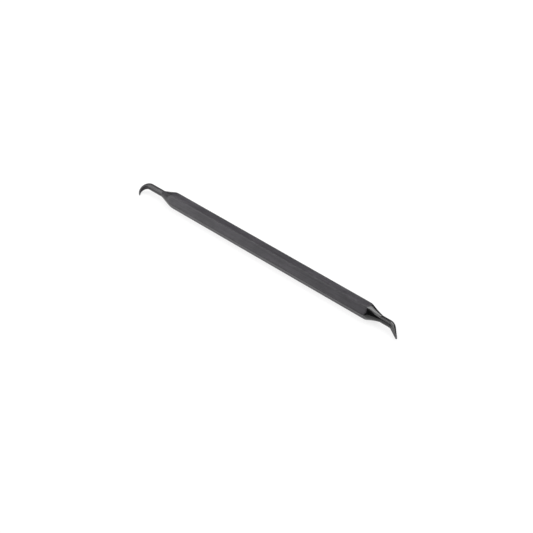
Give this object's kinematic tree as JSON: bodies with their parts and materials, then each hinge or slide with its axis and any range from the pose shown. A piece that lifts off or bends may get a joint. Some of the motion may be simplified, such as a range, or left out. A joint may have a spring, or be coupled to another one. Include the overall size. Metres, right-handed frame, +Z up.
{
  "type": "spudger tool",
  "caption": "Slim moulded nylon hand tool with a hexagonal handle, a curled hook at one end and a bent pick at the other, for probing and lifting wires.",
  "frame": {"origin": "centre of the flat that the handle lies on, halfway along the full hexagon", "axes": "+X along the handle from the hook to the pick, +Z up with the tool lying on a flat, hook and pick curving towards -Y and 30 degrees downwards"},
  "size_m": [0.146, 0.009, 0.0063],
  "materials": {
    "moulded_nylon": "dark charcoal glass-filled nylon, satin flats with a fine lengthwise grain, glossier on the tapers, hook and pick"
  },
  "bodies": {
    "root": {"spudger_body": "moulded_nylon"}
  },
  "joints": []
}
